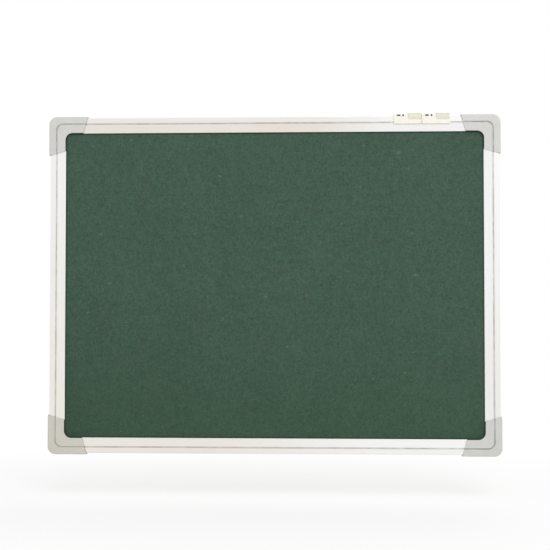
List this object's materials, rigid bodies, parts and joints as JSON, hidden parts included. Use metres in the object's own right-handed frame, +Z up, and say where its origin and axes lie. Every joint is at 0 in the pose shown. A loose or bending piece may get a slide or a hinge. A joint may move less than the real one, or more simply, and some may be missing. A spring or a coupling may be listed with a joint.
{
  "type": "fabric bulletin board",
  "caption": "Wall bulletin board: green felt over a softboard panel in an aluminium frame with moulded corner caps and sliding hangers on the top rail.",
  "frame": {"origin": "on the wall plane, in the middle of the board's width, at the height of the nails that the hangers hook over", "axes": "+X along the width, to the right as seen from the front; +Y towards the wall, so the felt faces -Y; +Z up"},
  "size_m": [0.6, 0.0211, 0.4516],
  "materials": {
    "satin_aluminium": "satin, silver anodised",
    "grey_cap_plastic": "moulded, fine matt texture",
    "key_plastic": "moulded, plain",
    "cream_hanger_plastic": "moulded, slightly glossy",
    "green_felt": "needled felt, matt, with fine pale fibres",
    "softboard": "pressed wood fibre, matt",
    "hardboard": "brown hardboard with a mesh texture",
    "zinc_screw": "bright zinc plate"
  },
  "bodies": {
    "board": {"rail_top": "satin_aluminium", "rail_right": "satin_aluminium", "rail_bottom": "satin_aluminium", "rail_left": "satin_aluminium", "corner_cap_top_left": "grey_cap_plastic", "corner_cap_top_right": "grey_cap_plastic", "corner_cap_bottom_right": "grey_cap_plastic", "corner_cap_bottom_left": "grey_cap_plastic", "corner_key_top_left": "key_plastic", "corner_key_top_right": "key_plastic", "corner_key_bottom_right": "key_plastic", "corner_key_bottom_left": "key_plastic", "cap_screw_top_left_1": "zinc_screw", "cap_screw_top_left_2": "zinc_screw", "cap_screw_top_right_1": "zinc_screw", "cap_screw_top_right_2": "zinc_screw", "cap_screw_bottom_right_1": "zinc_screw", "cap_screw_bottom_right_2": "zinc_screw", "cap_screw_bottom_left_1": "zinc_screw", "cap_screw_bottom_left_2": "zinc_screw", "softboard_core": "softboard", "hardboard_back": "hardboard", "felt_cover": "green_felt"},
    "hanger_left": {"hanger_left": "cream_hanger_plastic"},
    "hanger_right": {"hanger_right": "cream_hanger_plastic"}
  },
  "joints": [
    {"name": "hanger_left_slide", "type": "slide", "parent": "board", "child": "hanger_left", "axis": [1, 0, 0], "range_m": [-0.4068, 0]},
    {"name": "hanger_right_slide", "type": "slide", "parent": "board", "child": "hanger_right", "axis": [1, 0, 0], "range_m": [0, 0.014]}
  ]
}
